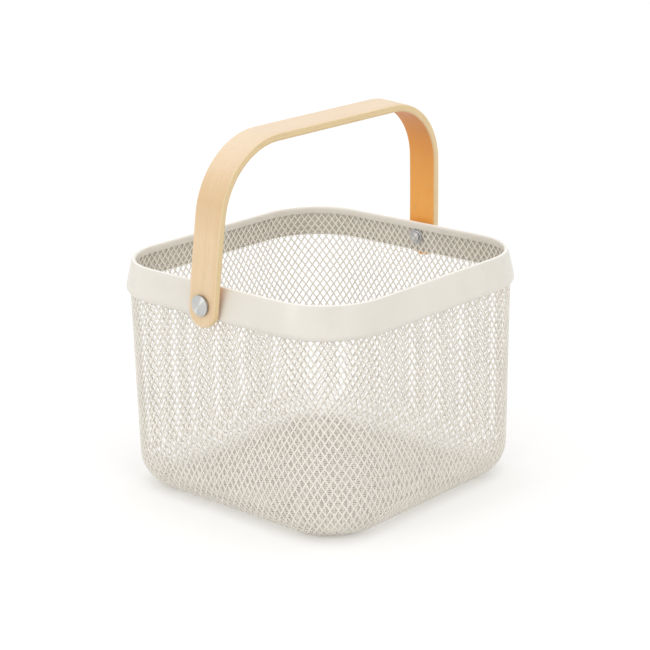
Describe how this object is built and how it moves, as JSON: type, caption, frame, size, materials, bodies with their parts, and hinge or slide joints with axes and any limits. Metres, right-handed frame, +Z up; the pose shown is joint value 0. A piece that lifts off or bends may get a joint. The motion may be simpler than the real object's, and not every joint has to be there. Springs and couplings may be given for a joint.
{
  "type": "onion basket",
  "caption": "Square storage basket with round corners: an open mesh tub under a flared steel rim band, and a bent wood handle that swings on rivets.",
  "frame": {"origin": "on the floor that the tub stands on, under the middle of the tub", "axes": "+Z up; Y runs through both rivets, with the front rivet on the -Y side; the standing handle tips 4 degrees from upright towards +X"},
  "size_m": [0.2492, 0.269, 0.2967],
  "materials": {
    "mesh_coat": "satin ivory coat on steel mesh",
    "band_coat": "satin cream coat on sheet steel",
    "wood": "laminated light wood with a thin matt lacquer",
    "rivet_metal": "turned, lightly brushed",
    "nylon": "natural nylon",
    "washer_steel": "zinc plated"
  },
  "bodies": {
    "basket": {"mesh_tub": "mesh_coat", "rim_band": "band_coat", "front_rivet": "rivet_metal", "back_rivet": "rivet_metal", "front_spacer": "nylon", "back_spacer": "nylon", "front_backing_washer": "washer_steel", "back_backing_washer": "washer_steel"},
    "handle": {"handle_bow": "wood"}
  },
  "joints": [
    {"name": "handle_pivot", "type": "hinge", "parent": "basket", "child": "handle", "pos_m": [0, 0, 0.17401], "axis": [0, 1, 0], "range_deg": [-70, 62]}
  ]
}
